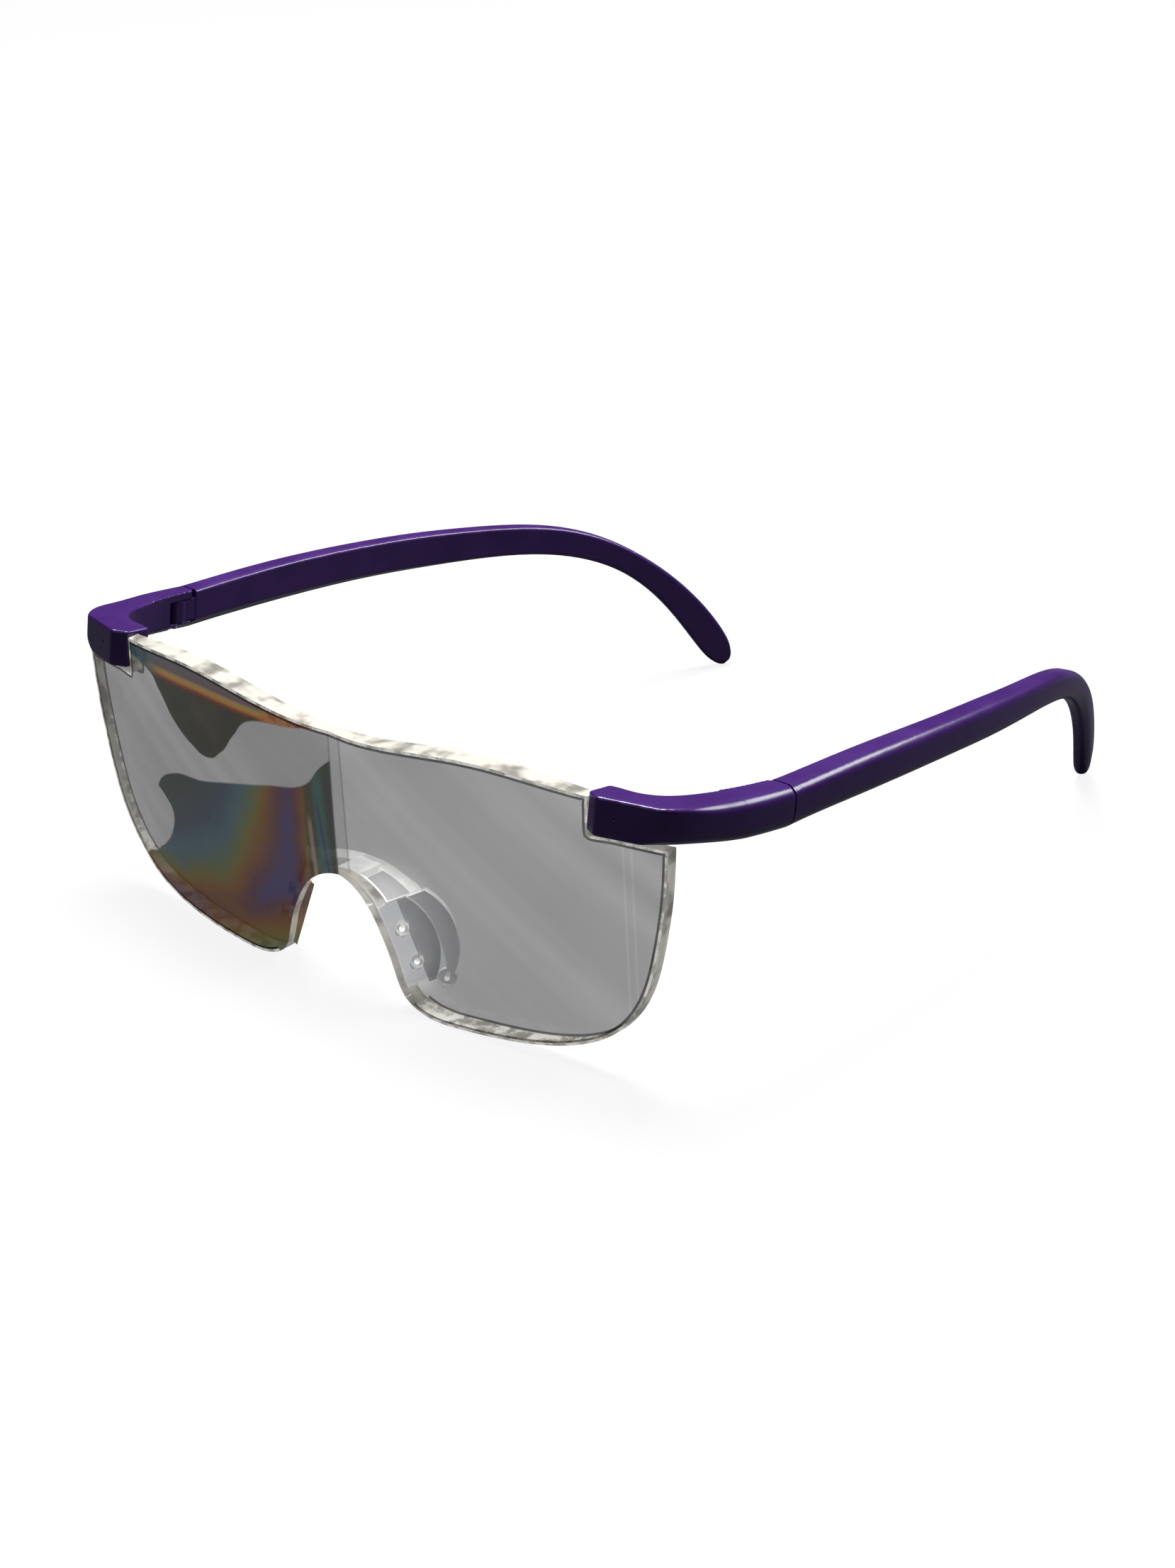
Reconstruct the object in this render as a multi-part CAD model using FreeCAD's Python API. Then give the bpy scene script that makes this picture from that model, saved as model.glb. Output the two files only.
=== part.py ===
"""Head-worn magnifying glasses: a one-piece clear magnifying shield, held at its two upper outer
corners by moulded end pieces, with folding temples on pinned hinges and a soft nose saddle.

Everything is drawn as worn, in millimetres: temples level and running back along +Y from the hinge
gap at y = 0, X across, Z up. The right-hand parts of a front view (+X) are drawn, and mirrored for
the left. The last step tips the whole set back until the shield's lower edge and both temple tips
stand on z = 0, which is how the glasses rest on a table, and centres it over the origin.
"""

import FreeCAD
import Part

import math
import os

V = FreeCAD.Vector

# ---- shield: one moulding with two magnifying lenses, side wings, corner tongues and nose tabs ----
lens_half_width = 69.3      # centre line to the outer edge of a side wing
lens_top = 52.6             # highest place of the top edge
lens_foot = 0.7             # lowest place of the two lobes
lens_base_radius = 345.0    # wrap of the shield round the face
lens_wall = 2.0             # thickness of wings, seam and tongues
lens_rake = 10.5            # degrees that the shield leans, its top forward
lens_stand_off = 24.2       # front of the shield's foot, ahead of the hinge gap
optic_rise = 2.5            # extra thickness in the middle of each magnifying lens
optic_centre_x = 28.5       # middle of each magnifying lens
optic_centre_z = 27.0
optic_half_width = 33.0     # from a lens's middle to its ridge on the wing
optic_half_height = 53.0    # where the lens's bulge would run out, up and down
top_dip = 3.4               # how far the top edge dips at the middle
nose_cut_top = 22.0         # top of the nose cut-out
nose_cut_half_width = 13.4  # at its mouth
corner_x = 55.0             # inner side of the corner notch that seats the end piece

# ---- tongue of the shield inside the end piece ----
tongue_length = 11.0
tongue_height = 4.0
tongue_middle_z = 48.3      # square to the shield
slot_clearance = 0.12

# ---- end piece ----
end_piece_top = 52.0
block_height = 6.8          # at the front, over the shield's wing
floor_fall = (-24.5, -9.0)  # between these Ys the floor falls to the temple's depth
front_face_inner = V(58.0, -30.8, 0)   # top corners of the flat front face
front_face_outer = V(68.3, -27.4, 0)
front_chamfer = 1.8
block_back_y = -24.2        # back of the block that holds the tongue
shoulder_grows = (-27.0, -15.0)  # between these Ys the upper outer edge goes from crisp to round
crisp_round = 0.35
edge_round = 0.7            # inner edges of the temple
shoulder_round = 2.3        # rounding of the upper outer edge, on end piece and temple
belly_round = 3.2           # rounding of the lower outer edge, on both
corner_gap = 0.2            # between the shield's notch and the end piece

# ---- temple ----
root_outer_x = 74.8         # outer face at the hinge gap
root_width = 5.6
root_height = 7.7
inner_lift = 0.2            # share of the height that the inner side is shallower
temple_reach = 132.8        # hinge gap to the tip, along Y
temple_crown_y = 66.0       # highest place of the temple
temple_rise = 3.1           # crown above the root
ear_drop = 29.8             # crown to the tip's end
ear_curve = 3.65            # exponent of the drop behind the crown
tip_inset = 26.3            # how far the tips lean in
inset_curve = 2.8           # exponent of that lean
neck_width = 3.7            # the slimmest place, ahead of the tip
neck_height = 4.9
neck_at = 0.84              # its place along the reach
tip_width = 3.4             # the paddle at the end
tip_height = 6.3
tip_at = 0.955
hinge_gap = 0.3
corner_relief = 0.9         # bevel of the end piece's inner corner at the gap

# ---- hinge ----
hinge_x = 70.6
hinge_y = -3.6
knuckle_radius = 1.9
knuckle_height = 4.0
knuckle_middle_z = 48.4
knuckle_play = 0.15         # above and below the knuckle
knuckle_room = 0.35         # round the knuckle, towards the outer skin
knuckle_front_room = 1.2    # free space ahead of the knuckle
pin_radius = 0.7
running_fit = 0.04
seat_fit = 0.02
pin_head_radius = 1.2
pin_head_height = 0.6
pin_head_sink = 0.3
pin_reach = 1.1             # into the upper lug

# ---- lens screw ----
screw_x = 60.6
screw_radius = 0.8
screw_head_radius = 1.5
screw_head_height = 0.8
screw_seat_y = -23.7        # floor of the spot face behind the block
screw_reach = 1.6           # into the front wall
driver_slot_width = 0.35
driver_slot_depth = 0.3

# ---- nose tabs, part of the shield, and the saddle on them ----
tab_top = V(7.9, 0.9, 17.9)            # front edge of a tab, square to the shield
tab_foot = V(13.9, 0.9, 3.9)
tab_flare = 47.0            # degrees that a tab turns outwards from straight back
tab_wall = 1.4
tab_length = 7.8            # front edge to rear edge, at the middle
tab_end_length = 5.0        # the same at its straight upper and lower ends
saddle_gap = 0.06           # between tab and saddle
saddle_wall = 1.3
saddle_rim = 3.5            # rim of the saddle beyond the tab
saddle_front_inset = 0.3    # saddle behind the shield's front face
rail_width = 2.2            # the two bars over the bridge of the nose
rail_wall = 1.6
front_rail_y = 1.4
rear_rail_y = 8.0
rear_rail_top = 20.9
web_half_width = 2.6        # middle web between the bars
tail_radius = 1.7           # rounded lower end of the rim
tail_hole_radius = 0.5
peg_radius = 1.1
peg_stand = 0.7             # how far a peg stands out of its tab
peg_hollow_radius = 0.5
peg_places = ((4.9, 2.6), (11.2, 3.0))  # down the tab's front edge, and back from it


def fused(solids):
    """One solid from several that overlap."""
    whole = solids[0].multiFuse(solids[1:])
    return whole.removeSplitter()


def spline(points):
    curve = Part.BSplineCurve()
    curve.interpolate(points)
    return curve.toShape()


def mirrored(shape):
    return shape.mirror(V(0, 0, 0), V(1, 0, 0))


def eased(value, start, end):
    """0 up to start and 1 from end on, with a smooth rise between."""
    share = min(1.0, max(0.0, (value - start) / (end - start)))
    return share * share * (3 - 2 * share)


def slab(x0, x1, y0, y1, z0, z1):
    return Part.makeBox(x1 - x0, y1 - y0, z1 - z0, V(x0, y0, z0))


# ------------------------------------------------------------------ shield

def seat_lens(shape):
    """Leans a shape drawn square to the shield, and sets it at the shield's stand-off."""
    leaned = shape.copy()
    leaned.rotate(V(0, 0, 0), V(1, 0, 0), lens_rake)
    leaned.translate(V(0, -lens_stand_off, 0))
    return leaned


def lens_front_y(x):
    """Depth of the shield's plain front face, square to the shield."""
    return lens_base_radius - math.sqrt(lens_base_radius ** 2 - x ** 2)


def lens_shell(extra=0.0):
    """The curved sheet, square to the shield, extra thicker on both faces."""
    middle = V(0, lens_base_radius, -200)
    outer = Part.makeCylinder(lens_base_radius + extra, 400, middle, V(0, 0, 1))
    inner = Part.makeCylinder(lens_base_radius - lens_wall - extra, 400, middle, V(0, 0, 1))
    return outer.cut(inner)


def notch_z():
    """Top of the side wing, just under the end piece's floor."""
    rake = math.radians(lens_rake)
    deepest = lens_front_y(lens_half_width) + lens_wall
    floor = end_piece_top - block_height - corner_gap
    return (floor - deepest * math.sin(rake)) / math.cos(rake)


def lens_outline():
    """Front outline of the shield without its corner notches, extruded through it."""
    lobe_x = nose_cut_half_width + 4.8
    corner = lens_half_width - 11.8
    height = lens_top - lens_foot
    cut = nose_cut_top - lens_foot

    def along(share, rise):
        """A point on the lower edge, between the lobe and the rounded outer corner."""
        return V(lobe_x + share * (corner - lobe_x), 0, lens_foot + height * rise)

    def outer(inset, rise):
        return V(lens_half_width - inset, 0, lens_foot + height * rise)

    def nose(inset, rise):
        return V(nose_cut_half_width - inset, 0, lens_foot + cut * rise)

    half = [
        outer(-0.5, 0.96), outer(0.2, 0.78), outer(0.8, 0.66), outer(2.5, 0.48), outer(5.7, 0.28),
        along(1.0, 0.13), along(0.8, 0.058), along(0.5, 0.017), along(0.22, 0.0),
        nose(-4.4, 0.03), nose(-1.4, 0.12), nose(0.1, 0.26), nose(1.2, 0.42), nose(3.5, 0.66),
        nose(6.9, 0.88),
    ]
    under = half + [V(0, 0, nose_cut_top)] + [V(-p.x, 0, p.z) for p in reversed(half)]
    brow = [
        V(lens_half_width * 0.77, 0, lens_top - 1.5),
        V(lens_half_width * 0.5, 0, lens_top - 0.1),
        V(lens_half_width * 0.22, 0, lens_top - top_dip * 0.62),
    ]
    over = [half[0]] + brow + [V(0, 0, lens_top - top_dip)]
    over += [V(-p.x, 0, p.z) for p in reversed([half[0]] + brow)]
    sheet = Part.Face(Part.Wire([spline(under), spline(over)]))
    sheet.translate(V(0, -30, 0))
    return sheet.extrude(V(0, 80, 0))


def magnifying_lens():
    """A barrel-shaped front face for the +X lens, thickest at the lens's middle."""
    across = 1.0 / lens_base_radius + 2.0 * optic_rise / optic_half_width ** 2
    radius_across = 1.0 / across
    radius_up = optic_half_height ** 2 / (2.0 * optic_rise)
    axis_x = optic_centre_x * (1.0 - radius_across / lens_base_radius)
    back = lens_wall + optic_centre_x ** 2 / (2.0 * lens_base_radius)
    front = back - (lens_wall + optic_rise) - (optic_centre_x - axis_x) ** 2 / (2.0 * radius_across)
    reach = 45.0
    fall = radius_up - math.sqrt(radius_up ** 2 - reach ** 2)
    low, high = optic_centre_z - reach, optic_centre_z + reach
    arc = Part.Arc(
        V(axis_x, front + fall, low), V(axis_x, front, optic_centre_z), V(axis_x, front + fall, high)
    ).toShape()
    axis_y = front + radius_across
    sides = Part.makePolygon(
        [V(axis_x, front + fall, high), V(axis_x, axis_y, high),
         V(axis_x, axis_y, low), V(axis_x, front + fall, low)]
    )
    profile = Part.Face(Part.Wire([arc] + sides.Edges))
    barrel = profile.revolve(V(axis_x, axis_y, 0), V(0, 0, 1), 360)
    behind = Part.makeCylinder(
        lens_base_radius - lens_wall, 400, V(0, lens_base_radius, -200), V(0, 0, 1)
    )
    near = slab(0, optic_centre_x + optic_half_width + 4, -20, 30, low, high)
    return barrel.common(near).cut(behind)


def tongue_block(margin=0.0):
    """The box that bounds a tongue, square to the shield."""
    half_height = tongue_height / 2 + margin
    return slab(
        corner_x - 2.5, corner_x + tongue_length + margin, -20, 40,
        tongue_middle_z - half_height, tongue_middle_z + half_height,
    )


def screw_z():
    """Height, as worn, of the middle of a tongue at its screw."""
    rake = math.radians(lens_rake)
    depth = lens_front_y(screw_x) + lens_wall / 2
    return tongue_middle_z * math.cos(rake) + depth * math.sin(rake)


def screw_path(radius, y0, y1):
    """A cylinder on the lens screw's line."""
    return Part.makeCylinder(radius, y1 - y0, V(screw_x, y0, screw_z()), V(0, 1, 0))


# ------------------------------------------------------------------ nose tabs and saddle

def tab_axes():
    """Unit vectors down a tab's front edge, back along the tab, and out of its outer face."""
    down = (tab_foot - tab_top).normalize()
    flare = math.radians(tab_flare)
    sideways = V(0, 1, 0).cross(down).normalize()
    if sideways.x < 0:
        sideways = sideways * -1
    back = V(0, 1, 0) * math.cos(flare) + sideways * math.sin(flare)
    out = sideways * math.cos(flare) - V(0, 1, 0) * math.sin(flare)
    return down, back, out


def on_tab(down_by, back_by, out_by=0.0):
    """A point on a tab's inner face, or out_by outside it."""
    down, back, out = tab_axes()
    return tab_top + down * down_by + back * back_by + out * out_by


def tab_sheet(grow, out_from, out_to, front_by=0.0, lower_grow=0.0):
    """A D-shaped plate parallel to a tab, grown at its round side."""
    edge = (tab_foot - tab_top).Length
    _, _, out = tab_axes()
    ends = tab_end_length + grow
    start = on_tab(0, front_by, out_from)
    upper = on_tab(0, ends, out_from)
    crown = on_tab(edge * 0.55, tab_length + grow, out_from)
    lower = on_tab(edge + lower_grow, ends, out_from)
    end = on_tab(edge + lower_grow, front_by, out_from)
    wire = Part.Wire([
        Part.makeLine(start, upper),
        Part.Arc(upper, crown, lower).toShape(),
        Part.makeLine(lower, end),
        Part.makeLine(end, start),
    ])
    return Part.Face(wire).extrude(out * (out_to - out_from))


def peg_rod(radius, out_from, out_to):
    """Cylinders on a tab's two peg places."""
    _, _, out = tab_axes()
    return [
        Part.makeCylinder(radius, out_to - out_from, on_tab(a, b, out_from), out)
        for a, b in peg_places
    ]


def arch_bar(foot, apex, width, wall):
    """A bar with a rectangular section, bent over the nose through foot, apex and foot's mirror."""
    other = V(-foot.x, foot.y, foot.z)
    arc = Part.Arc(foot, apex, other).toShape()
    centre = arc.Curve.Center
    normal = arc.Curve.Axis
    inwards = (centre - foot).normalize()
    corner = foot - inwards * (wall / 2) - normal * (width / 2)
    across = normal * width
    through = inwards * wall
    points = [corner, corner + across, corner + across + through, corner + through, corner]
    section = Part.Face(Part.makePolygon(points))
    return Part.Wire([arc]).makePipe(section)


def front_rail(extra=0.0):
    """The bar under the top of the nose cut-out, extra larger all round."""
    foot = on_tab(0.6, front_rail_y - saddle_front_inset, -saddle_gap - saddle_wall / 2)
    foot = V(foot.x - 0.4, front_rail_y, foot.z)
    apex = V(0, front_rail_y, nose_cut_top - rail_wall / 2 - saddle_gap)
    return arch_bar(foot, apex, rail_width + 2 * extra, rail_wall + 2 * extra)


def make_nose_saddle():
    edge = (tab_foot - tab_top).Length
    inner = -saddle_gap - saddle_wall
    front = -saddle_front_inset
    side = tab_sheet(saddle_rim, inner, -saddle_gap, front_by=front)
    # the lip runs round the tab, and is open at its lower end, where the tail hangs
    around_tab = tab_sheet(saddle_gap, -saddle_gap - 0.02, tab_wall + 1, front_by=-1)
    below_tab = tab_sheet(saddle_gap, -saddle_gap - 0.02, tab_wall + 1, -1, lower_grow=4)
    lip = tab_sheet(saddle_rim, -saddle_gap - 0.01, tab_wall).cut(around_tab).cut(below_tab)
    tail_at = on_tab(edge + tail_radius * 0.3, tab_end_length + saddle_rim - tail_radius, inner)
    _, _, out = tab_axes()
    tail = Part.makeCylinder(tail_radius, tab_wall - inner, tail_at, out).cut(around_tab)
    tail_hole = Part.makeCylinder(tail_hole_radius, 9, tail_at - out * 4, out)
    pegs = peg_rod(peg_radius, inner + 0.2, tab_wall + peg_stand)
    right = [side, lip, tail] + pegs
    rear_foot = on_tab(0.8, tab_end_length + saddle_rim * 0.6, inner / 2)
    rear_rail = arch_bar(rear_foot, V(0, rear_rail_y, rear_rail_top), rail_width, rail_wall)
    web_low = nose_cut_top - saddle_gap - rail_wall
    web_front = front_rail_y + rail_width / 2 - 0.2
    web = Part.Face(Part.makePolygon([
        V(0, web_front, web_low + 0.05), V(0, web_front, web_low + rail_wall - 0.05),
        V(0, rear_rail_y, rear_rail_top + rail_wall / 2 - 0.05),
        V(0, rear_rail_y, rear_rail_top - rail_wall / 2 + 0.05),
        V(0, web_front, web_low + 0.05),
    ])).extrude(V(web_half_width, 0, 0))
    web = web.fuse(mirrored(web))
    solids = right + [mirrored(part) for part in right] + [front_rail(), rear_rail, web]
    whole = fused(solids)
    hollows = peg_rod(peg_hollow_radius, -0.2, tab_wall + peg_stand + 1) + [tail_hole]
    # the bars' feet are trimmed flush with the pads' inner faces
    hollows.append(tab_sheet(saddle_rim, inner - 3, inner, front_by=front))
    for hollow in hollows:
        whole = whole.cut(hollow).cut(mirrored(hollow))
    return seat_lens(whole)


def make_lens_shield():
    notch = slab(corner_x, lens_half_width + 9, -30, 40, notch_z(), lens_top + 9)
    outline = lens_outline()
    shell = lens_shell().common(outline).cut(notch).cut(mirrored(notch))
    optic = magnifying_lens().common(outline).cut(notch)
    tongue = lens_shell().common(tongue_block())
    room = tab_sheet(0.0, -4.0, 0.0, front_by=-3.0)
    shell = shell.cut(room).cut(mirrored(room))
    optic = optic.cut(room)
    tab = tab_sheet(0.0, 0.0, tab_wall)
    root = tab_sheet(0.0, 0.0, tab_wall, front_by=-1.0)
    root = root.common(slab(0, 30, -5, 3, -5, 40)).common(lens_shell())
    body = fused([shell, optic, mirrored(optic), tongue, mirrored(tongue), tab, mirrored(tab),
                  root, mirrored(root)]).cut(front_rail(saddle_gap))
    for hole in peg_rod(peg_radius + seat_fit, -2, tab_wall + 2):
        body = body.cut(hole).cut(mirrored(hole))
    body = seat_lens(body)
    hole = screw_path(screw_radius + slot_clearance, -50, 0)
    return body.cut(hole).cut(mirrored(hole))


# ------------------------------------------------------------------ end piece

def outer_side():
    """Points of an end piece's outer side, seen from above."""
    return [
        V(root_outer_x, 0, 0), V(root_outer_x - 0.3, -8, 0), V(root_outer_x - 1.7, -17.5, 0),
        V(root_outer_x - 3.6, -23.5, 0), front_face_outer,
    ]


def outer_side_x(y):
    """The outer side's X at y; past either end it is the end's own X."""
    points = outer_side()
    y = min(points[0].y, max(points[-1].y, y))
    curve = Part.BSplineCurve()
    curve.interpolate(points)
    low, high = curve.FirstParameter, curve.LastParameter
    for _ in range(40):
        middle = (low + high) / 2
        if curve.value(middle).y > y:
            low = middle
        else:
            high = middle
    return curve.value(middle).x


def end_piece_plan():
    """Outline seen from above, from the hinge gap round the front face and back."""
    root_inner_x = root_outer_x - root_width
    side = corner_x + corner_gap
    chamfer_end = V(side, front_face_inner.y + front_chamfer * 0.8, 0)
    block_end = V(side + 2.4, block_back_y + 0.5, 0)
    outer = spline(outer_side())
    inner = spline([
        block_end, V(root_inner_x - 5.0, -20.8, 0),
        V(root_inner_x - 2.2, -14.5, 0), V(root_inner_x - 0.6, -7, 0),
        V(root_inner_x, -corner_relief, 0),
    ])
    return Part.Wire([
        outer,
        Part.makeLine(front_face_outer, front_face_inner),
        Part.makeLine(front_face_inner, chamfer_end),
        Part.makeLine(chamfer_end, V(side, block_back_y, 0)),
        Part.makeLine(V(side, block_back_y, 0), block_end),
        inner,
        Part.makeLine(V(root_inner_x, -corner_relief, 0), V(root_inner_x + corner_relief, 0, 0)),
        Part.makeLine(V(root_inner_x + corner_relief, 0, 0), V(root_outer_x, 0, 0)),
    ])


def end_piece_floor(across, y):
    """Height of the underside: shallow over the shield, deep at the gap, shallower inside."""
    share = eased(y, *floor_fall)
    floor = end_piece_top - block_height + (block_height - root_height) * share
    return floor + root_height * inner_lift * (1 - across) * share


def under_section(y, low):
    """Outline, at y, of what is cut away under an end piece: a floor and a quarter-round belly."""
    side_x = outer_side_x(y)
    inner_x = min(root_outer_x - root_width, side_x - belly_round - 1.0)
    inside = end_piece_floor(0, y)
    floor = end_piece_floor(1, y)
    bow = belly_round * (1 - math.sqrt(0.5))
    turn = V(side_x - belly_round, y, floor)
    top = V(side_x, y, floor + belly_round)
    arc = Part.Arc(turn, V(side_x - bow, y, floor + bow), top).toShape()
    before = Part.makePolygon([V(corner_x - 5, y, inside), V(inner_x, y, inside), turn])
    after = Part.makePolygon([
        top, V(side_x + 4, y, floor + belly_round), V(side_x + 4, y, low),
        V(corner_x - 5, y, low), V(corner_x - 5, y, inside),
    ])
    return Part.Wire(before.Edges + [arc] + after.Edges)


def over_section(y, high):
    """Outline, at y, of what is cut away above an end piece: a quarter-round shoulder."""
    side_x = outer_side_x(y)
    radius = crisp_round + (shoulder_round - crisp_round) * eased(y, *shoulder_grows)
    bow = radius * (1 - math.sqrt(0.5))
    turn = V(side_x - radius, y, end_piece_top)
    side = V(side_x, y, end_piece_top - radius)
    arc = Part.Arc(turn, V(side_x - bow, y, end_piece_top - bow), side).toShape()
    around = Part.makePolygon([
        side, V(side_x + 4, y, side.z), V(side_x + 4, y, high), V(turn.x, y, high), turn,
    ])
    return Part.Wire([arc] + around.Edges)


def end_piece_blank():
    """The outside of an end piece, both its outer edges rounded."""
    low = end_piece_top - root_height - 3
    face = Part.Face(end_piece_plan())
    face.translate(V(0, 0, low))
    block = face.extrude(V(0, 0, end_piece_top - low))
    behind, ahead = 1.0, front_face_inner.y - 1
    count = 32
    stations = [behind + step * (ahead - behind) / (count - 1) for step in range(count)]
    under = Part.makeLoft([under_section(y, low - 1) for y in stations], True, True)
    over = Part.makeLoft([over_section(y, end_piece_top + 2) for y in stations], True, True)
    return block.cut(under).cut(over)


def pin_path(radius, z0, z1):
    """A cylinder on the hinge's axis."""
    return Part.makeCylinder(radius, z1 - z0, V(hinge_x, hinge_y, z0), V(0, 0, 1))


def hinge_floor():
    """Height of the end piece's underside at the hinge's axis."""
    return end_piece_floor((hinge_x - root_outer_x) / root_width + 1, hinge_y)


def make_end_piece():
    block = end_piece_blank()
    # slot for the shield's tongue
    slot = lens_shell(slot_clearance).common(tongue_block(slot_clearance))
    block = block.cut(seat_lens(slot))
    # lens screw: spot face behind, clearance through the back wall, blind hole in the front wall
    front_end = screw_front_y()
    block = block.cut(screw_path(screw_head_radius + slot_clearance, screw_seat_y, 0))
    block = block.cut(screw_path(screw_radius + seat_fit, front_end - 0.2, screw_seat_y + 1))
    # hinge: a slot open to the inner side and the gap, with the pin's holes above and below
    room_low = knuckle_middle_z - knuckle_height / 2 - knuckle_play
    room_high = knuckle_middle_z + knuckle_height / 2 + knuckle_play
    ahead = hinge_y - knuckle_radius - knuckle_front_room
    block = block.cut(slab(hinge_x - 12, hinge_x, ahead, 5, room_low, room_high))
    block = block.cut(slab(hinge_x, hinge_x + knuckle_radius + knuckle_room,
                           hinge_y, 5, room_low, room_high))
    block = block.cut(pin_path(knuckle_radius + knuckle_room, room_low, room_high))
    low = hinge_floor()
    block = block.cut(pin_path(pin_head_radius + running_fit, low - 2, low + pin_head_sink))
    top = room_high + pin_reach
    return block.cut(pin_path(pin_radius + seat_fit, low - 1, top + 0.2))


# ------------------------------------------------------------------ temple

def temple_middle(y):
    """Centre line of a temple, at y behind the hinge gap."""
    x = root_outer_x - root_width / 2 - tip_inset * (y / temple_reach) ** inset_curve
    z = end_piece_top - root_height / 2
    if y < temple_crown_y:
        z += temple_rise * (1 - (1 - y / temple_crown_y) ** 2)
    else:
        z += temple_rise
        z -= ear_drop * ((y - temple_crown_y) / (temple_reach - temple_crown_y)) ** ear_curve
    return V(x, y, z)


def temple_size(share):
    """Width and height of a temple's section, at a share of its reach."""
    if share < neck_at:
        width = root_width + (neck_width - root_width) * share / neck_at
        height = root_height + (neck_height - root_height) * (share / neck_at) ** 2.3
    else:
        step = eased(share, neck_at, tip_at)
        width = neck_width + (tip_width - neck_width) * step
        height = neck_height + (tip_height - neck_height) * step
    return width, height


def temple_section(middle, along, width, height, lift, scale):
    """Closed outline across a temple: flat top and inner side, round shoulder and belly outside.
    The inner side is shallower than the outer one by lift, a share of the height."""
    side = along.cross(V(0, 0, 1)).normalize()
    up = side.cross(along).normalize()
    half_w, half_h = width / 2 * scale, height / 2 * scale
    fine = min(edge_round, 0.2 * width) * scale
    shoulder = min(shoulder_round, 0.45 * width) * scale
    belly = min(belly_round, 0.6 * width) * scale
    raised = height * lift * scale
    corners = [(half_w, half_h, shoulder), (-half_w, half_h, fine),
               (-half_w, raised - half_h, fine), (half_w, -half_h, belly)]

    def place(across, rise):
        return middle + side * across + up * rise

    arcs = []
    for across, rise, radius in corners:
        sx, sz = math.copysign(1, across), math.copysign(1, rise)
        cx, cz = across - sx * radius, rise - sz * radius
        bow = radius * math.sqrt(0.5)
        ends = [place(across, cz), place(cx, rise)]
        if sx * sz < 0:
            ends.reverse()
        arcs.append((ends[0], place(cx + sx * bow, cz + sz * bow), ends[1]))
    edges = []
    for index, (first, bend, last) in enumerate(arcs):
        edges.append(Part.Arc(first, bend, last).toShape())
        edges.append(Part.makeLine(last, arcs[(index + 1) % 4][0]))
    return Part.Wire(edges)


def make_temple():
    start = hinge_gap
    stations = [start + (temple_reach - start) * share for share in
                (0, 0.12, 0.26, 0.4, 0.52, 0.64, 0.74, 0.82, 0.885, 0.935, 0.97)]
    wires = []
    for y in stations:
        ahead = temple_middle(y + 0.05) - temple_middle(y - 0.05 if y > start else y)
        along = V(0, 1, 0) if y == start else ahead.normalize()
        width, height = temple_size(y / temple_reach)
        lift = inner_lift * max(0.0, 1 - y / temple_reach / neck_at)
        wires.append(temple_section(temple_middle(y), along, width, height, lift, 1.0))
    # round the end off like half an ellipse
    last = stations[-1]
    along = (temple_middle(last + 0.05) - temple_middle(last - 0.05)).normalize()
    nose = (temple_middle(temple_reach) - temple_middle(last)).Length
    for share in (0.35, 0.65, 0.86, 0.97):
        middle = temple_middle(last) + along * nose * share
        scale = math.sqrt(1 - share ** 2)
        wires.append(temple_section(middle, along, tip_width, tip_height, 0.0, scale))
    arm = Part.makeLoft(wires, True, False)
    low = knuckle_middle_z - knuckle_height / 2
    high = knuckle_middle_z + knuckle_height / 2
    knuckle = pin_path(knuckle_radius, low, high)
    neck = slab(hinge_x - knuckle_radius + 0.6, hinge_x + knuckle_radius - 0.4,
                hinge_y, start + 3, low, high)
    arm = fused([arm, knuckle, neck])
    return arm.cut(pin_path(pin_radius + running_fit, low - 1, high + 1))


# ------------------------------------------------------------------ pins and screws

def driver_slot(middle, across, axis):
    """The cut for a screwdriver in a head whose face is at middle."""
    third = axis.cross(across)
    corner = middle - across * 2 - third * (driver_slot_width / 2) - axis * driver_slot_depth
    points = [corner, corner + across * 4, corner + across * 4 + third * driver_slot_width,
              corner + third * driver_slot_width, corner]
    return Part.Face(Part.makePolygon(points)).extrude(axis * 2)


def make_hinge_pin():
    head_face = hinge_floor() + pin_head_sink - pin_head_height
    head = pin_path(pin_head_radius, head_face, head_face + pin_head_height)
    top = knuckle_middle_z + knuckle_height / 2 + knuckle_play + pin_reach
    shank = pin_path(pin_radius, head_face + pin_head_height / 2, top)
    slot = driver_slot(V(hinge_x, hinge_y, head_face), V(1, 0, 0), V(0, 0, -1))
    return fused([head, shank]).cut(slot)


def screw_front_y():
    """Front end of the lens screw, screw_reach into the end piece's front wall."""
    rake = math.radians(lens_rake)
    front = lens_front_y(screw_x) * math.cos(rake) - tongue_middle_z * math.sin(rake)
    return front - lens_stand_off - slot_clearance - screw_reach


def make_lens_screw():
    face = screw_seat_y + screw_head_height
    head = screw_path(screw_head_radius, screw_seat_y, face)
    shank = screw_path(screw_radius, screw_front_y(), screw_seat_y + screw_head_height / 2)
    slot = driver_slot(V(screw_x, face, screw_z()), V(1, 0, 0), V(0, 1, 0))
    return fused([head, shank]).cut(slot)


# ------------------------------------------------------------------ the set, at rest on a table

def lowest(points, pitch):
    """Lowest height of points once tipped back by pitch."""
    return min(p.z * math.cos(pitch) - p.y * math.sin(pitch) for p in points)


def rest_pitch(front, back):
    """How far the glasses tip back, in radians, before both ends stand on the table."""
    low, high = 0.0, math.radians(30)
    for _ in range(40):
        pitch = (low + high) / 2
        if lowest(front, pitch) < lowest(back, pitch):
            low = pitch
        else:
            high = pitch
    return pitch


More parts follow.
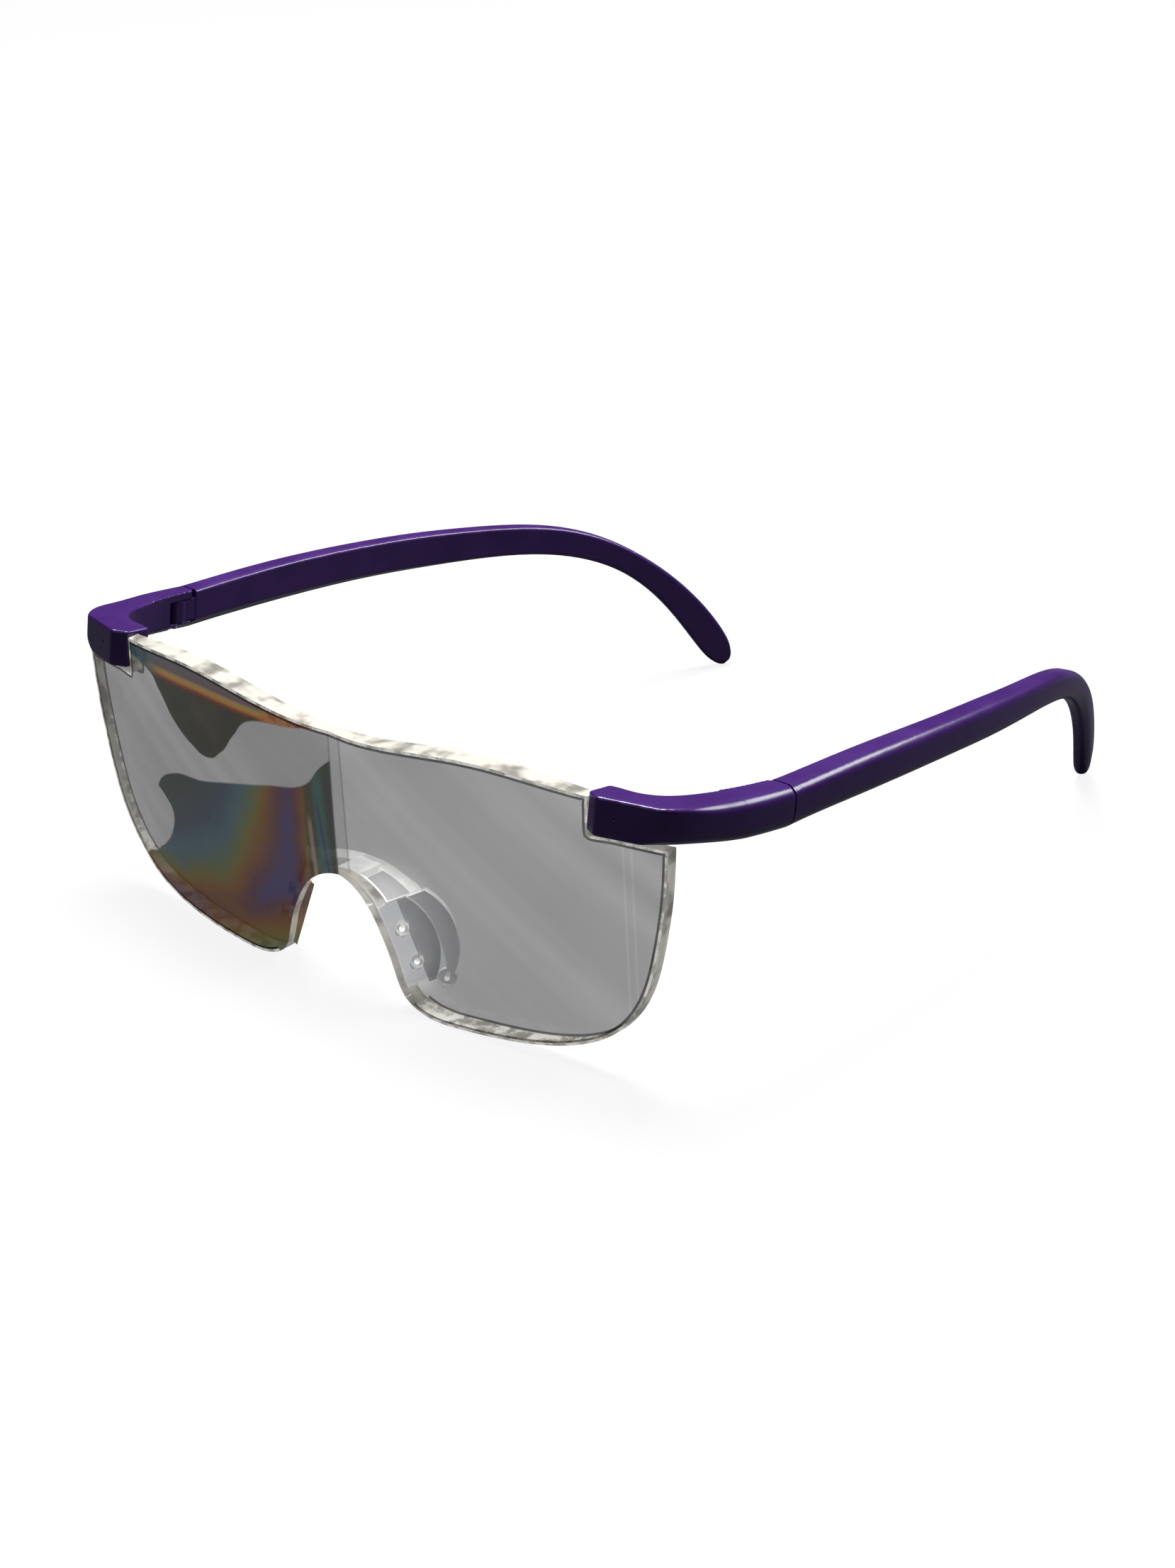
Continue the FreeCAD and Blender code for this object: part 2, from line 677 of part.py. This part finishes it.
def main():
    right = {
        "end_piece": make_end_piece(),
        "temple": make_temple(),
        "hinge_pin": make_hinge_pin(),
        "lens_screw": make_lens_screw(),
    }
    nodes = {"lens_shield": make_lens_shield(), "nose_saddle": make_nose_saddle()}
    for name, shape in right.items():
        nodes[name + "_right"] = shape
        nodes[name + "_left"] = mirrored(shape)

    front = nodes["lens_shield"].tessellate(0.01)[0]
    back = nodes["temple_right"].tessellate(0.01)[0]
    pitch = rest_pitch(front, back)
    lift = -lowest(front, pitch)
    turn = FreeCAD.Rotation(V(1, 0, 0), -math.degrees(pitch))
    placed = FreeCAD.Placement(V(0, 0, lift), turn)
    depths = [placed.multVec(p).y for p in front + back]
    depths += [placed.multVec(p).y for p in nodes["end_piece_right"].tessellate(0.01)[0]]
    placed = FreeCAD.Placement(V(0, -(min(depths) + max(depths)) / 2, lift), turn)

    os.makedirs("parts", exist_ok=True)
    for name, shape in nodes.items():
        assert shape.isValid() and len(shape.Solids) == 1, name
        done = shape.copy()
        done.transformShape(placed.toMatrix())
        done.exportStep("parts/" + name + ".step")
        print(name, round(shape.Volume, 1))

    axis = turn.multVec(V(0, 0, 1))
    point = placed.multVec(V(hinge_x, hinge_y, knuckle_middle_z))
    top = placed.multVec(V((front_face_inner.x + front_face_outer.x) / 2, -25.0, end_piece_top))
    print("tipped back, degrees", round(math.degrees(pitch), 4))
    print("hinge axis", [round(c, 6) for c in axis], "through", [round(c, 4) for c in point])
    print("top of an end piece", [round(c, 4) for c in top])


if __name__ == "__main__":
    main()
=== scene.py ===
import math

import bpy
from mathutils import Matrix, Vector


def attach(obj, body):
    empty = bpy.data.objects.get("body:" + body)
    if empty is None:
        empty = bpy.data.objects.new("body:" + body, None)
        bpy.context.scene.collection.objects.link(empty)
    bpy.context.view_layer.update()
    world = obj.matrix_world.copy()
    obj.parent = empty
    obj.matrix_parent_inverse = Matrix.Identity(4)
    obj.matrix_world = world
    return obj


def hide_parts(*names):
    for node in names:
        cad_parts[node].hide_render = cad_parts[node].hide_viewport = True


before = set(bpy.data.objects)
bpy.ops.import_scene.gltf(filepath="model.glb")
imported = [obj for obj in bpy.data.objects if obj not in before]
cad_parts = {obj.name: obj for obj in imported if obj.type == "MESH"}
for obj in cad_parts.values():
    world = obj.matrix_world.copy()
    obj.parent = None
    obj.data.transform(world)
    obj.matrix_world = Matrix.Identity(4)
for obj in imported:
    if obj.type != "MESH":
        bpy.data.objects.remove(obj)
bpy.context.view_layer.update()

mm = 0.001

# ---- camera: a long lens, looking down at the open glasses from the front and to their right ----
camera_data = bpy.data.cameras.new("camera")
camera_data.sensor_width = 36
camera_data.lens = 82.91
camera_data.clip_start = 0.01
camera = bpy.data.objects.new("camera", camera_data)
bpy.context.scene.collection.objects.link(camera)
camera.location = (0.40955, -0.47117, 0.28496)
camera_turn, camera_dip, camera_roll = math.radians(41.912), math.radians(23.626), math.radians(-0.874)
sight = Vector((-math.sin(camera_turn) * math.cos(camera_dip),
                math.cos(camera_turn) * math.cos(camera_dip), -math.sin(camera_dip)))
camera.rotation_euler = sight.to_track_quat("-Z", "Y").to_euler()
camera.rotation_euler.rotate_axis("Z", camera_roll)
bpy.context.scene.camera = camera


# ---- frame: end pieces and temples -----------------------------------------------------------
# Injection-moulded nylon with a pearly dark purple lacquer. The end pieces clamp the shield's
# corners, and the temples hang on pins behind them.
class Amount:
    """A number that varies over a surface. Sums on it become Math nodes of its finish."""

    def __init__(self, finish, socket):
        self.finish = finish
        self.socket = socket

    def __add__(self, other):
        return self.finish.math("ADD", self, other)

    __radd__ = __add__

    def __mul__(self, other):
        return self.finish.math("MULTIPLY", self, other)

    __rmul__ = __mul__

    def __sub__(self, other):
        return self.finish.math("SUBTRACT", self, other)

    def __rsub__(self, other):
        return self.finish.math("SUBTRACT", other, self)

    def __truediv__(self, other):
        return self.finish.math("DIVIDE", self, other)


class Finish:
    """One moulded or turned surface: a Principled material and the nodes that vary it."""

    def __init__(self, name, **steady):
        self.material = bpy.data.materials.new(name)
        self.material.use_nodes = True
        self.tree = self.material.node_tree
        self.shader = self.tree.nodes["Principled BSDF"]
        for socket, setting in steady.items():
            self.shader.inputs[socket.replace("_", " ")].default_value = setting
        self.place = self.node("ShaderNodeTexCoord", {}, {}, "Object")

    def node(self, kind, settings, sockets, output=0):
        """Adds any node: its settings first, then its sockets' values or links."""
        made = self.tree.nodes.new(kind)
        for name, setting in settings.items():
            if name == "stops":
                ramp = made.color_ramp
                while len(ramp.elements) < len(setting):
                    ramp.elements.new(1.0)
                for element, (position, colour) in zip(ramp.elements, setting):
                    element.position, element.color = position, (*colour, 1.0)
            elif name == "bend":
                curve = made.mapping.curves[0]
                while len(curve.points) < len(setting):
                    curve.points.new(0.5, 0.5)
                for point, spot in zip(curve.points, setting):
                    point.location = spot
                made.mapping.update()
            else:
                setattr(made, name, setting)
        for name, source in sockets.items():
            if isinstance(source, Amount):
                self.tree.links.new(source.socket, made.inputs[name])
            else:
                made.inputs[name].default_value = source
        return Amount(self, made.outputs[output])

    def math(self, operation, *numbers):
        return self.node("ShaderNodeMath", {"operation": operation}, dict(enumerate(numbers)))

    def along(self):
        """The piece's own X, Y and Z, in millimetres."""
        parts = [self.node("ShaderNodeSeparateXYZ", {}, {0: self.place}, axis) for axis in (0, 1, 2)]
        return [part * 1000.0 for part in parts]

    def step(self, amount, start, end):
        """0 before start and 1 after end, eased."""
        return self.node("ShaderNodeMapRange", {"interpolation_type": "SMOOTHSTEP"},
                         {0: amount, 1: start, 2: end, 3: 0.0, 4: 1.0})

    def mix(self, share, first, second):
        """The second colour over the first by a share."""
        return self.node("ShaderNodeMix", {"data_type": "RGBA"}, {0: share, 6: first, 7: second}, 2)

    def noise(self, size, detail=2.0, roughness=0.5):
        """Soft noise, with features of a size in millimetres."""
        return self.node("ShaderNodeTexNoise", {},
                         {"Vector": self.place, "Scale": 1000.0 / size, "Detail": detail,
                          "Roughness": roughness})

    def feed(self, **sources):
        for socket, source in sources.items():
            self.tree.links.new(source.socket, self.shader.inputs[socket.replace("_", " ")])

    def relief(self, height, depth):
        """A bump normal from a height of 0 to 1, depth in millimetres deep."""
        return self.node("ShaderNodeBump", {}, {"Strength": 0.35, "Distance": depth * mm, "Height": height})


def coat(names, finish):
    """Gives the CAD nodes a finish."""
    for name in names:
        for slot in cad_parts[name].material_slots:
            slot.material = finish.material


lacquer = Finish("purple_lacquer", Coat_Weight=0.5, Coat_Roughness=0.2, Specular_IOR_Level=0.3)
pearl = lacquer.noise(0.12, 3.0, 0.7)
clouds = lacquer.noise(9.0)
tone = lacquer.step(clouds, 0.3, 0.7)
lacquer.feed(
    Base_Color=lacquer.mix(lacquer.step(pearl, 0.55, 0.8) * 0.35,
                           lacquer.mix(tone, (0.040, 0.010, 0.112, 1), (0.052, 0.015, 0.138, 1)),
                           (0.17, 0.08, 0.25, 1)),
    Roughness=0.26 + clouds * 0.08,
    Normal=lacquer.relief(lacquer.noise(1.6), 0.02))
coat(["end_piece_right", "end_piece_left", "temple_right", "temple_left"], lacquer)

# ---- polished blocks of the end pieces -------------------------------------------------------
# Each end piece is one moulding whose block is tumbled smooth before it is lacquered, so every
# edge ahead of the hinge is soft. The lugs of the hinge keep their crisp moulded edges.
block_grain = 0.15 * mm      # size of the remeshed faces
block_passes = 30            # smoothing passes, which set how soft an edge gets
hinge_front = -0.0585        # everything ahead of this is smoothed
same_point = 0.000002        # corners nearer than this are one corner
crease = math.radians(50)    # edges sharper than this stay creased

for word in ("right", "left"):
    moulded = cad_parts["end_piece_" + word]
    block = bpy.data.objects.new("polished_end_piece_" + word, moulded.data.copy())
    bpy.context.scene.collection.objects.link(block)
    bpy.ops.object.select_all(action="DESELECT")
    block.select_set(True)
    bpy.context.view_layer.objects.active = block
    bpy.ops.object.mode_set(mode="EDIT")
    bpy.ops.mesh.select_all(action="SELECT")
    bpy.ops.mesh.remove_doubles(threshold=same_point)
    bpy.ops.object.mode_set(mode="OBJECT")
    remesh = block.modifiers.new("grain", "REMESH")
    remesh.mode, remesh.voxel_size = "VOXEL", block_grain
    bpy.ops.object.modifier_apply(modifier=remesh.name)
    bpy.ops.object.mode_set(mode="EDIT")
    bpy.ops.mesh.select_all(action="DESELECT")
    bpy.ops.object.mode_set(mode="OBJECT")
    for vertex in block.data.vertices:
        vertex.select = vertex.co.y < hinge_front
    bpy.ops.object.mode_set(mode="EDIT")
    bpy.ops.mesh.vertices_smooth(factor=0.5, repeat=block_passes)
    bpy.ops.object.mode_set(mode="OBJECT")
    bpy.ops.object.shade_smooth_by_angle(angle=crease)
    block.data.materials.clear()
    block.data.materials.append(lacquer.material)
    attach(block, "front")
    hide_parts("end_piece_" + word)


# ---- shield ----------------------------------------------------------------------------------
# One lightly smoked polycarbonate moulding, where two magnifying lenses meet in a centre seam. The
# left lens's front face carries a painted dark reflection, with rainbow stress colours in it.
wing_ridge = 61.0            # where the right lens's bulge ends, mm from the centre
ring_core_x, ring_core_z = -13.5, 19.5  # middle of the purple core, mm across and mm up
zero_drop = 0.7              # mm that the zero of these heights lies under the table
nose_tab_x, nose_tab_z = 12.5, 15.0     # middle of the right nose tab, mm across and mm up

smoke = Finish("smoked_shield", Roughness=0.04, Coat_Weight=0.4, Coat_Roughness=0.02,
               Emission_Strength=0.55)
across, _, up = smoke.along()
height = up + zero_drop
left = smoke.step(across, 0.3, -0.3)


def hand_curve(amount, start, end, low, high, spots):
    """A given curve of the amount, from start to end. Its spots run from low to high."""
    share = (amount - start) / (end - start)
    bend = smoke.node("ShaderNodeFloatCurve", {"bend": spots}, {"Factor": 1.0, "Value": share})
    return bend * (high - low) + low


# the left lens's painted dark reflection: a dark wedge under the brow, and a dark lower patch, with stress
# colours in it
wedge_foot = hand_curve(across, -60, 0, 35, 55, [
    (0, 0.68), (0.2, 0.62), (0.25, 0.5), (0.34, 0.23), (0.42, 0.1), (0.48, 0.05), (0.55, 0.15),
    (0.62, 0.38), (0.7, 0.58), (0.85, 0.64), (1, 0.72)])
patch_top = hand_curve(across, -60, 0, 0, 50, [
    (0, 0.14), (0.08, 0.18), (0.16, 0.23), (0.2, 0.51), (0.3, 0.59), (0.45, 0.62), (0.58, 0.66),
    (0.75, 0.71), (0.9, 0.76), (0.96, 0.84), (1, 0.88)])
patch_side = hand_curve(height, 0, 30, -62, -40, [
    (0, 0.15), (0.3, 0.3), (0.42, 0.6), (0.6, 0.8), (0.7, 0.82), (0.78, 0.72), (0.86, 0.5), (1, 0.2)])
wedge = smoke.step(height - wedge_foot, -0.1, 0.35) * left
patch = smoke.step(patch_top - height, -0.1, 0.35) * smoke.step(across - patch_side, -0.1, 0.35) * left
reflection_and_stress = smoke.math("MAXIMUM", wedge, patch)

# the lower patch's colours ring a purple core, drawn out towards the outer foot
core_x, core_z = across - ring_core_x, height - ring_core_z
along_rings = core_x * 0.75 + core_z * 0.66 + 12
over_rings = core_x * 0.66 - core_z * 0.75 + along_rings * along_rings * 0.019
drift = (smoke.noise(7.0) - 0.5) * 5.0
ring = (smoke.math("MAXIMUM", 2.6 - over_rings, 0.0)
        + smoke.math("MAXIMUM", 12.7 - height + (across + 20) * 0.35, 0.0)
        + smoke.math("MAXIMUM", across + 10.5, 0.0) * 1.5 + drift)
ring_colour = smoke.node("ShaderNodeValToRGB", {"stops": [
    (0.0, (0.045, 0.035, 0.095)), (0.09, (0.075, 0.03, 0.04)), (0.18, (0.13, 0.055, 0.016)),
    (0.26, (0.115, 0.09, 0.02)), (0.34, (0.075, 0.095, 0.05)), (0.45, (0.05, 0.085, 0.105)),
    (0.58, (0.035, 0.05, 0.07)), (0.75, (0.035, 0.042, 0.04)), (1.0, (0.03, 0.03, 0.02))]},
    {0: ring / 32.0})
# under the brow: blue at the outer end, then orange under pink, then dapples towards the seam
brow_line = smoke.step(height + smoke.math("ABSOLUTE", across + 32) * 0.03, 46.6, 51.5)
brow_band = smoke.node("ShaderNodeValToRGB", {"stops": [
    (0.0, (0.02, 0.016, 0.01)), (0.2, (0.13, 0.03, 0.012)), (0.4, (0.36, 0.15, 0.03)),
    (0.6, (0.25, 0.2, 0.05)), (0.78, (0.12, 0.07, 0.075)), (1.0, (0.1, 0.085, 0.09))]}, {0: brow_line})
brow_ends = smoke.step(across, -42, -50)
brow_blue = smoke.mix(smoke.step(across, -54, -60), (0.055, 0.085, 0.095, 1), (0.045, 0.05, 0.04, 1))
brow_colour = smoke.mix(brow_ends, brow_band, brow_blue)
dapple = smoke.node("ShaderNodeValToRGB", {"stops": [
    (0.0, (0.03, 0.09, 0.08)), (0.35, (0.12, 0.13, 0.10)), (0.55, (0.36, 0.14, 0.03)),
    (0.7, (0.16, 0.03, 0.03)), (1.0, (0.02, 0.02, 0.015))]}, {0: smoke.noise(2.6, 1.0)})
brow_colour = smoke.mix(smoke.step(across, -17, -13), brow_colour, dapple)
brow = smoke.step(height, 46.8, 47.6) * left
# beside the seam: a pale streak, teal, and a violet thread
seam_way = across + (height - 25) * 0.05
streak = (smoke.step(smoke.math("ABSOLUTE", seam_way + 5.2), 0.7, 0.2)
          * smoke.step(height, 17, 20) * smoke.step(height, 33, 30))
teal = smoke.step(smoke.math("ABSOLUTE", seam_way + 2.6), 1.8, 0.5) * smoke.step(height, 44, 38)
thread = (smoke.step(smoke.math("ABSOLUTE", across + 2.2 + (height - 24) * 0.12), 0.5, 0.15)
          * smoke.step(height, 37, 33))
seam_dark = smoke.step(across, -7.0, -5.8)
patch_colour = smoke.mix(seam_dark * 0.8, ring_colour, (0.035, 0.032, 0.022, 1))
patch_colour = smoke.mix(teal * 0.75, patch_colour, (0.03, 0.10, 0.09, 1))
patch_colour = smoke.mix(streak * 0.8, patch_colour, (0.22, 0.16, 0.11, 1))
patch_colour = smoke.mix(thread * 0.8, patch_colour, (0.04, 0.03, 0.09, 1))
# the wedge is painted reflection, a dark olive clouded by noise
wedge_reflection_colour = smoke.mix(smoke.step(smoke.noise(8.0), 0.4, 0.7),
                         (0.028, 0.027, 0.018, 1), (0.04, 0.036, 0.018, 1))
reflection_and_stress_colour = smoke.mix(wedge, patch_colour, wedge_reflection_colour)
reflection_and_stress_colour = smoke.mix(brow, reflection_and_stress_colour, brow_colour)

# soft light streaks run over both lenses, and the right wing carries a fine ridge line
lie = across * 0.55 + height * 0.83
streaks = smoke.node("ShaderNodeTexNoise", {"noise_dimensions": "1D"},
                     {"W": lie / 9.0, "Scale": 1.0, "Detail": 1.0})
haze = smoke.step(streaks, 0.42, 0.7) * 0.05 + (smoke.noise(22.0) - 0.5) * 0.05
ridge = smoke.step(smoke.math("ABSOLUTE", across - wing_ridge), 0.35, 0.1)
seam_line = smoke.step(smoke.math("ABSOLUTE", across), 0.35, 0.1)
plain = 0.485 + left * 0.07 - haze - ridge * 0.06 + seam_line * 0.15
# the smoke is clearer over the right nose tab
nose_x = across - nose_tab_x
nose_z = height - nose_tab_z
near_nose = smoke.step(nose_x * nose_x * 0.55 + nose_z * nose_z * 0.42, 85, 15) * (1 - left)
plain = plain * (1 - near_nose * 0.42)
# the painted reflection and its colours lie on the front face only, so each face is told by its outward
# normal
skin = smoke.node("ShaderNodeNewGeometry", {}, {}, "True Normal")
inside = smoke.node("ShaderNodeNewGeometry", {}, {}, "Backfacing")
facing = smoke.node("ShaderNodeSeparateXYZ", {}, {0: skin}, 1) * (1 - inside * 2)
front = smoke.step(facing, -0.4, -0.5)
alpha = plain + (0.965 - plain) * reflection_and_stress * front
# the cut edge itself is a painted ivory highlight that glows, broken by grey patches
cut_edge = smoke.step(smoke.math("ABSOLUTE", facing), 0.5, 0.4)
edge_glint = smoke.step(smoke.noise(5.0, 2.0, 0.5), 0.32, 0.55)
edge_highlight_tone = smoke.mix(edge_glint, (0.18, 0.17, 0.15, 1), (0.50, 0.48, 0.43, 1))
tint = smoke.mix(reflection_and_stress, (0.03, 0.03, 0.03, 1), reflection_and_stress_colour)
# the reflection's colours also glow on the front face: painted light, an emission that no lamp gives
glow = smoke.mix(reflection_and_stress * front, (0, 0, 0, 1), reflection_and_stress_colour)
smoke.feed(Base_Color=smoke.mix(cut_edge, tint, edge_highlight_tone),
           Emission_Color=smoke.mix(cut_edge, glow, edge_highlight_tone),
           Alpha=alpha + (0.9 - alpha) * cut_edge)

coat(["lens_shield"], smoke)

# ---- painted highlight and shade on the shield's rim -----------------------------------------
# The shield's outline is cut and flame-polished. Its narrow bevel is drawn as an ivory band that glows,
# a painted highlight, with a thin dark line of painted shade inside it, on both faces.
edge_room = 0.02             # all in millimetres: between the outline and the bevel
bevel_width = 0.5
line_width = 0.45
proud = 0.03                 # how far both bands stand off the moulding
point_gap = 0.7              # between neighbouring points of a band
facing_front = -0.9          # the Y of a normal that belongs to the front face
far_off = 0.2                # metres, clear of the shield on either side
block_inner, block_foot = 0.0555, 0.0445    # an end piece's block hides what lies beyond these
saddle_side, saddle_foot, saddle_top = 0.0165, 0.001, 0.03    # and the saddle what lies in these

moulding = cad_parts["lens_shield"]
outline = bpy.data.objects.new("outline", moulding.data.copy())
bpy.context.scene.collection.objects.link(outline)
bpy.ops.object.select_all(action="DESELECT")
outline.select_set(True)
bpy.context.view_layer.objects.active = outline
bpy.ops.object.mode_set(mode="EDIT")
bpy.ops.mesh.select_all(action="SELECT")
bpy.ops.mesh.remove_doubles(threshold=same_point)
bpy.ops.object.mode_set(mode="OBJECT")
fronts, others = {}, set()
for face in outline.data.polygons:
    for pair in face.edge_keys:
        if face.normal.y < facing_front:
            fronts[pair] = fronts.get(pair, 0) + 1
        else:
            others.add(pair)
beside = {}
for first, second in (pair for pair, count in fronts.items() if count == 1 and pair in others):
    beside.setdefault(first, []).append(second)
    beside.setdefault(second, []).append(first)
# the longest chain of rim edges is the shield's outline; the shorter ones are its holes
chains, seen_points = [], set()
for start in beside:
    chain, at = [], start
    while at is not None and at not in seen_points:
        seen_points.add(at)
        chain.append(outline.data.vertices[at].co.copy())
        at = next((point for point in beside[at] if point not in seen_points), None)
    chains.append(chain)
chain = max(chains, key=len)
chain.append(chain[0])
rim_points, left_over = [], 0.0
for first, second in zip(chain, chain[1:]):
    stretch = (second - first).length
    while left_over < stretch:
        rim_points.append(first.lerp(second, left_over / stretch))
        left_over += point_gap * mm
    left_over -= stretch
bpy.data.objects.remove(outline)


def rim_band(name, inner, outer, face, finish):
    """A band on one face of the shield, between two distances in from its outline."""
    count = len(rim_points)
    turns = sum(p.x * q.z - q.x * p.z for p, q in zip(rim_points, rim_points[1:] + rim_points[:1]))
    spots = []
    for distance in (outer, inner):
        for index, point in enumerate(rim_points):
            ahead = rim_points[(index + 2) % count] - rim_points[index - 2]
            inward = Vector((-ahead.z, 0, ahead.x)).normalized() * (1 if turns > 0 else -1)
            spot = point + inward * distance * mm
            eye = Vector((spot.x, face * far_off, spot.z))
            hit, on, _, _ = moulding.ray_cast(eye, Vector((0, -face, 0)))
            spot.y = (on.y if hit else point.y) + face * proud * mm
            spots.append(spot)
    sides = []
    for index in range(count):
        following = (index + 1) % count
        middle = rim_points[index]
        hidden = abs(middle.x) > block_inner and middle.z > block_foot
        by_nose = abs(middle.x) < saddle_side and saddle_foot < middle.z < saddle_top
        if not hidden and not by_nose:
            sides.append((index, following, count + following, count + index))
    mesh = bpy.data.meshes.new(name)
    mesh.from_pydata(spots, [], sides)
    band = bpy.data.objects.new(name, mesh)
    bpy.context.scene.collection.objects.link(band)
    bpy.ops.object.select_all(action="DESELECT")
    band.select_set(True)
    bpy.context.view_layer.objects.active = band
    bpy.ops.object.mode_set(mode="EDIT")
    bpy.ops.mesh.select_all(action="SELECT")
    bpy.ops.mesh.delete_loose()
    bpy.ops.object.mode_set(mode="OBJECT")
    mesh.materials.append(finish.material)
    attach(band, "front")


# the ivory band is a painted highlight that glows, broken by grey patches
rim = Finish("painted_highlight_rim", Roughness=0.18, Coat_Weight=0.5, Coat_Roughness=0.05,
             Emission_Strength=0.5)
glint = rim.step(rim.noise(2.4, 3.0, 0.6), 0.36, 0.6)
rim_highlight_tone = rim.mix(glint, (0.34, 0.33, 0.28, 1), (0.93, 0.91, 0.85, 1))
rim.feed(Base_Color=rim_highlight_tone, Emission_Color=rim_highlight_tone, Alpha=0.75 + glint * 0.22)
# the dark line inside the band is painted shade
line = Finish("painted_shade_rim_line", Roughness=0.2)
cloud = line.step(line.noise(3.0), 0.4, 0.7)
line.feed(Base_Color=line.mix(cloud, (0.01, 0.01, 0.008, 1), (0.04, 0.04, 0.03, 1)),
          Alpha=line.noise(5.0) * 0.3 + 0.6)
for face, word in ((-1, "front"), (1, "back")):
    rim_band("rim_" + word, edge_room, bevel_width, face, rim)
    rim_band("rim_line_" + word, bevel_width, bevel_width + line_width, face, line)

# ---- nose saddle -----------------------------------------------------------------------------
# One piece of soft clear plastic, pressed over the shield's two nose tabs and held by two hollow
# pegs a side. Its flat plates look grey, and its edges are painted near white as a painted highlight;
# the whole piece glows in these colours, which is painted light.
plate_x, plate_y, plate_z = 0.627, -0.744, 0.231    # the right plate's outward normal
plate_depth = 68.1           # a plate's outer face along that normal, mm

clear = Finish("clear_saddle", Roughness=0.12, Coat_Weight=0.6, Coat_Roughness=0.03,
               Emission_Strength=1.1)
saddle_x, saddle_y, saddle_z = clear.along()
skin = clear.node("ShaderNodeNewGeometry", {}, {}, "True Normal")
turned = [clear.node("ShaderNodeSeparateXYZ", {}, {0: skin}, axis) for axis in (0, 1, 2)]
side = clear.math("SIGN", saddle_x)
facing_out = turned[0] * side * plate_x + turned[1] * plate_y + turned[2] * plate_z
flat = clear.step(clear.math("ABSOLUTE", facing_out), 0.85, 0.95)
wisps = clear.step(clear.noise(4.0, 2.0, 0.5), 0.35, 0.7)
plate = clear.mix(wisps, (0.20, 0.20, 0.22, 1), (0.30, 0.305, 0.32, 1))
# the edges' near white is a painted highlight
edge_highlight = clear.mix(wisps, (0.72, 0.73, 0.72, 1), (0.97, 0.97, 0.95, 1))
depth = clear.math("ABSOLUTE", saddle_x) * plate_x + saddle_y * plate_y + saddle_z * plate_z
plate = clear.mix(clear.step(depth, plate_depth, plate_depth - 0.6), plate, (0.5, 0.505, 0.52, 1))
clear.feed(Base_Color=clear.mix(flat, edge_highlight, plate), Emission_Color=clear.mix(flat, edge_highlight, plate),
           Alpha=0.88 - flat * (0.38 - wisps * 0.08))
coat(["nose_saddle"], clear)

# ---- hinge pins and lens screws --------------------------------------------------------------
# Turned steel with slotted heads. The pins carry the temples, and the screws hold the shield's
# corners in the end pieces.
steel = Finish("turned_steel", Metallic=1.0, Roughness=0.32)
steel.shader.inputs["Base Color"].default_value = (0.55, 0.55, 0.57, 1)
coat(["hinge_pin_right", "hinge_pin_left", "lens_screw_right", "lens_screw_left"], steel)

# ---- table and light -------------------------------------------------------------------------
# A plain pale table in soft studio light. It looks white, but throws little light back up, so
# the lower sides of the glasses stay dark.
table_size, table_level = 6, -0.0002

bpy.ops.object.select_all(action="DESELECT")
bpy.ops.mesh.primitive_plane_add(size=table_size, location=(0, 0, table_level))
table_top = bpy.context.object
table_top.name = "table_top"
pale = Finish("pale_table", Roughness=0.9, Specular_IOR_Level=0.0)
pale.shader.inputs["Base Color"].default_value = (0.08, 0.08, 0.08, 1)
pale.shader.inputs["Emission Color"].default_value = (1, 1, 1, 1)
pale.shader.inputs["Emission Strength"].default_value = 0.88
sight_only = pale.node("ShaderNodeLightPath", {}, {}, "Is Camera Ray")
dim = pale.node("ShaderNodeBsdfDiffuse", {}, {"Color": (0.05, 0.05, 0.055, 1)})
lit = Amount(pale, pale.shader.outputs[0])
shown = pale.node("ShaderNodeMixShader", {}, {0: sight_only, 1: dim, 2: lit})
pale.tree.links.new(shown.socket, pale.tree.nodes["Material Output"].inputs[0])
table_top.data.materials.append(pale.material)

world = bpy.data.worlds.new("room")
bpy.context.scene.world = world
world.use_nodes = True
backdrop = world.node_tree
room = backdrop.nodes["Background"]
room.inputs[0].default_value = (1, 1, 1, 1)
seen = backdrop.nodes.new("ShaderNodeLightPath")
strength = backdrop.nodes.new("ShaderNodeMapRange")
strength.inputs["To Min"].default_value = 0.02
strength.inputs["To Max"].default_value = 1.0
backdrop.links.new(seen.outputs["Is Camera Ray"], strength.inputs["Value"])
backdrop.links.new(strength.outputs[0], room.inputs[1])


def softbox(name, spot, size, power, aim=(0, 0, 0.03)):
    """A rectangular lamp at a spot, facing the aim."""
    lamp = bpy.data.lights.new(name, "AREA")
    lamp.shape, lamp.size, lamp.size_y = "RECTANGLE", *size
    lamp.energy = power
    holder = bpy.data.objects.new(name, lamp)
    bpy.context.scene.collection.objects.link(holder)
    holder.location = spot
    holder.rotation_euler = (Vector(aim) - Vector(spot)).to_track_quat("-Z", "Y").to_euler()


softbox("overhead", (-0.2, 0.2, 1.1), (0.5, 0.5), 26)
softbox("shoulder_light", (0.45, 0.8, 0.68), (0.55, 0.28), 6.0)
softbox("front_fill", (0.3, -1.0, 0.5), (0.5, 0.3), 0.8)

bpy.context.scene.view_settings.view_transform = "Standard"
